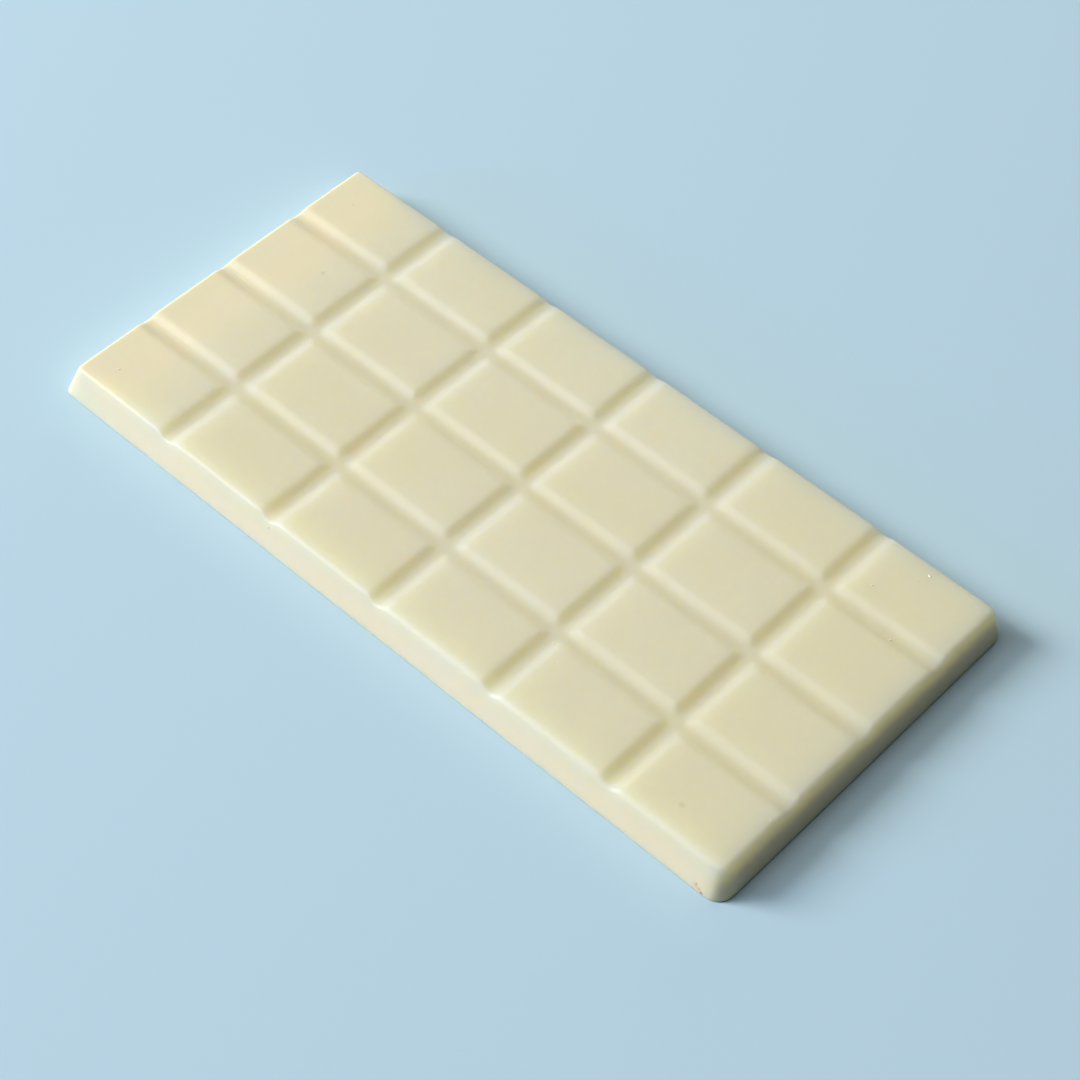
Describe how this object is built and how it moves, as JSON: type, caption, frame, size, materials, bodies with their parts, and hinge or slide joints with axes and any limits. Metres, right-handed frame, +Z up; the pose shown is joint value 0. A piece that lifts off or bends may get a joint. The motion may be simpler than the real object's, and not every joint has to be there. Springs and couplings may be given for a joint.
{
  "type": "chocolate bar",
  "caption": "Flat moulded bar of white chocolate, marked off by rounded grooves into a grid of rectangular segments that snap apart.",
  "frame": {"origin": "middle of the flat back that the bar lies on", "axes": "+X along the bar, +Y across it, +Z up from the flat back to the grooved top"},
  "size_m": [0.16, 0.0762, 0.0064],
  "materials": {
    "white_chocolate": "satin, faintly translucent cocoa butter and milk"
  },
  "bodies": {
    "root": {"chocolate_bar": "white_chocolate"}
  },
  "joints": []
}
